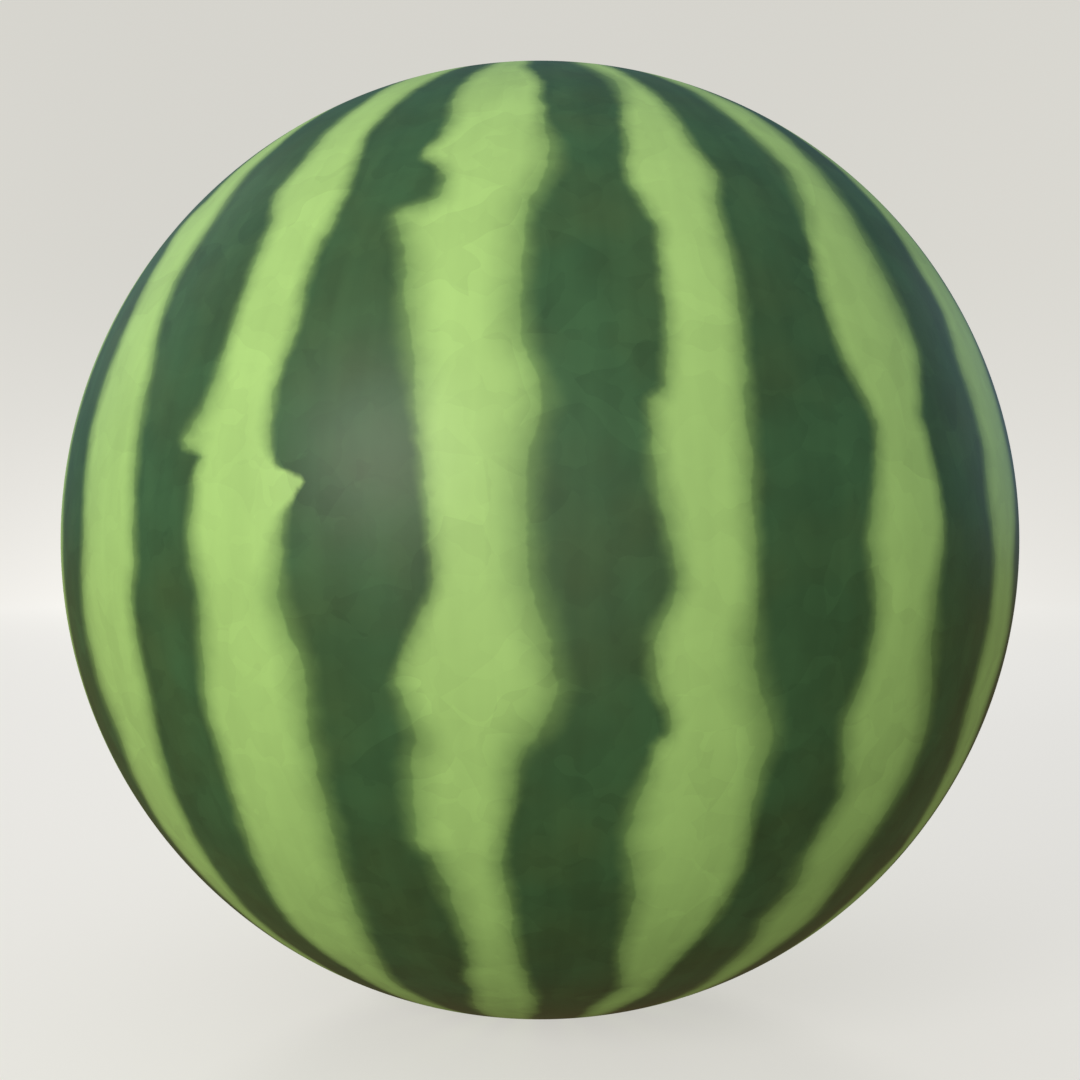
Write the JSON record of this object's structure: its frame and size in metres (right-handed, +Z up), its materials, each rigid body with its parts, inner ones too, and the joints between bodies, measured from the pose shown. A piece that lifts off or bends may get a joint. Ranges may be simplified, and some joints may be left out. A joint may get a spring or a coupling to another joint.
{
  "type": "watermelon",
  "caption": "Whole round watermelon with dark and pale green stripes from stem end to blossom end, standing on a small flat spot.",
  "frame": {"origin": "centre of the small flat spot at the blossom end, which the fruit stands on", "axes": "+Z up along the stem axis, from the blossom end to the stem scar; -Y faces the camera of the picture, +X to its right"},
  "size_m": [0.24, 0.24, 0.2359],
  "materials": {
    "rind": "smooth waxy fruit rind, satin, with pale and dark green stripes"
  },
  "bodies": {
    "root": {"watermelon": "rind"}
  },
  "joints": []
}
